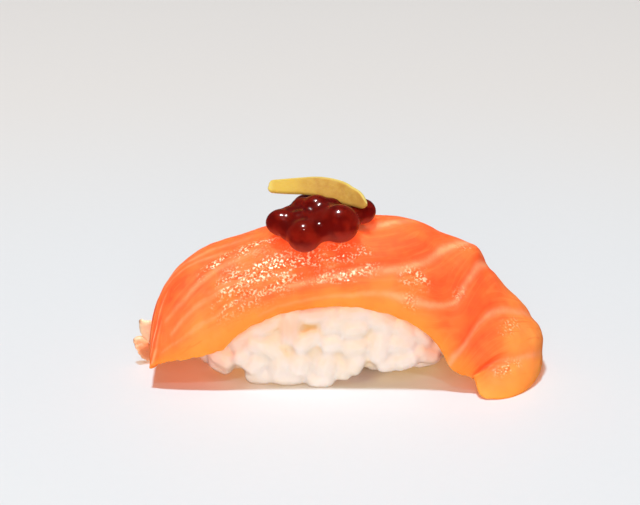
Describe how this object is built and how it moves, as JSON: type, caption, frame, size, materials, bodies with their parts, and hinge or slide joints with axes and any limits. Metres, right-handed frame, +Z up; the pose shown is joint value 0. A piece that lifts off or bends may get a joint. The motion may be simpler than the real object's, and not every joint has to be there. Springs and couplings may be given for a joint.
{
  "type": "salmon nigiri",
  "caption": "Hand-pressed block of vinegared rice under a long draped slice of raw salmon, topped with a cluster of dark red salmon roe and a curved strip of citrus peel.",
  "frame": {"origin": "bottom centre of the whole piece's box, at table level under the rice", "axes": "+X along the piece towards the end of the slice that touches the table, +Y away from the face the picture shows, +Z up"},
  "size_m": [0.0746, 0.0306, 0.0361],
  "materials": {
    "rice": "moist steamed rice grains, translucent white",
    "salmon": "wet raw salmon, orange with pale fat lines",
    "roe": "dark red translucent eggs with a wet gloss",
    "citrus_strip": "yellow citrus peel, slightly translucent",
    "ragged_scrap": "thin torn flake, cream to orange-tan"
  },
  "bodies": {
    "root": {"rice": "rice", "salmon": "salmon", "roe_front": "roe", "roe_right": "roe", "roe_left": "roe", "roe_top": "roe", "roe_back": "roe", "roe_rear": "roe", "citrus_strip": "citrus_strip", "ragged_scrap": "ragged_scrap"}
  },
  "joints": []
}
